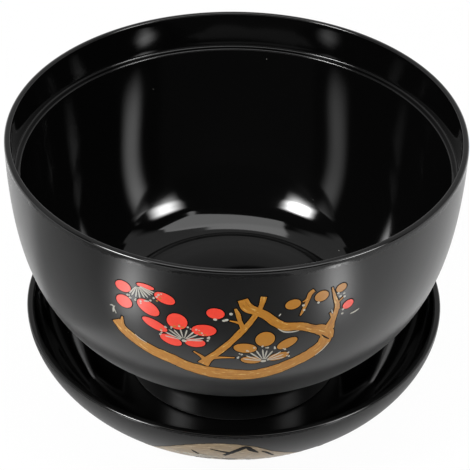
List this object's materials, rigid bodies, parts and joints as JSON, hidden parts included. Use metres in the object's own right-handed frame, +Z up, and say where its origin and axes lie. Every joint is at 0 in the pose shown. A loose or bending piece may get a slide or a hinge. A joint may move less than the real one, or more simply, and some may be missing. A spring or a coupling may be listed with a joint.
{
  "type": "lidded soup bowl",
  "caption": "Deep round lacquer-look soup bowl standing in its own upturned lid, which serves as a saucer and seats on a ledge inside the rim.",
  "frame": {"origin": "centre of the upturned lid's standing ring, on the surface that it rests on", "axes": "+Z up along the axis of the bowl and the lid; -Y towards the decorated front; +X to the right as seen from the front"},
  "size_m": [0.15, 0.15, 0.105],
  "materials": {
    "bowl_lacquer": "moulded black plastic, gloss lacquer coat inside and over the lip, satin coat outside",
    "lid_lacquer": "moulded black plastic, gloss lacquer coat inside, satin coat outside",
    "red_print": "vermilion screen-printed ink",
    "gold_print": "ochre gold screen-printed ink",
    "silver_print": "pale silver screen-printed ink"
  },
  "bodies": {
    "lid": {"lid": "lid_lacquer"},
    "bowl": {"bowl": "bowl_lacquer"}
  },
  "joints": [
    {"name": "bowl_lift", "type": "slide", "parent": "lid", "child": "bowl", "axis": [0, 0, 1], "range_m": [0, 0.1]}
  ]
}
